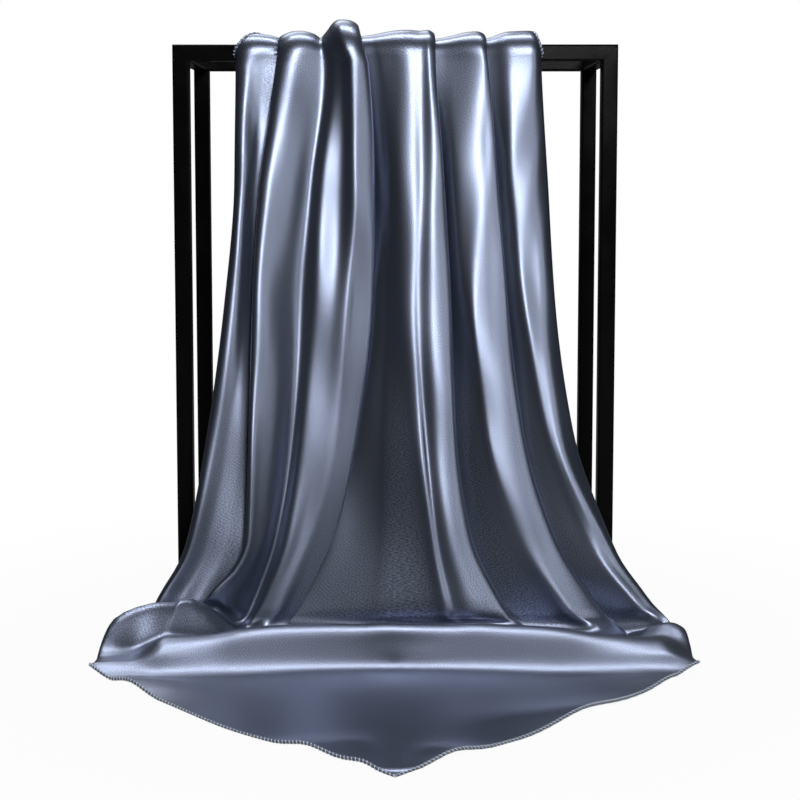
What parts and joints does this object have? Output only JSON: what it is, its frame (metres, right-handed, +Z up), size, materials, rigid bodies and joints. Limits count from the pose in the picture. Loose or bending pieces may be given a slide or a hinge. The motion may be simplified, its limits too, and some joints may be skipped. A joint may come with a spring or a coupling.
{
  "type": "square scarf draped on a box frame stand",
  "caption": "Square satin scarf draped corner-first over a black box-frame stand, its front corner spread on the floor.",
  "frame": {"origin": "on the floor, under the middle of the scarf and its stand together", "axes": "+Z up; +Y from the scarf's front corner on the floor to the back of the stand; +X to the right as seen from the front"},
  "size_m": [0.608, 0.7109, 0.6544],
  "materials": {
    "satin": "glossy satin weave",
    "hem_thread": "overlocked thread",
    "black_paint": "gloss"
  },
  "bodies": {
    "root": {"scarf_panel": "satin", "hem_front_left": "hem_thread", "hem_front_right": "hem_thread", "hem_back_left": "hem_thread", "hem_back_right": "hem_thread", "front_bar_top": "black_paint", "front_bar_bottom": "black_paint", "front_post_left": "black_paint", "front_post_right": "black_paint", "rear_bar_top": "black_paint", "rear_bar_bottom": "black_paint", "rear_post_left": "black_paint", "rear_post_right": "black_paint", "depth_bar_top_left": "black_paint", "depth_bar_top_right": "black_paint", "depth_bar_bottom_left": "black_paint", "depth_bar_bottom_right": "black_paint"}
  },
  "joints": []
}
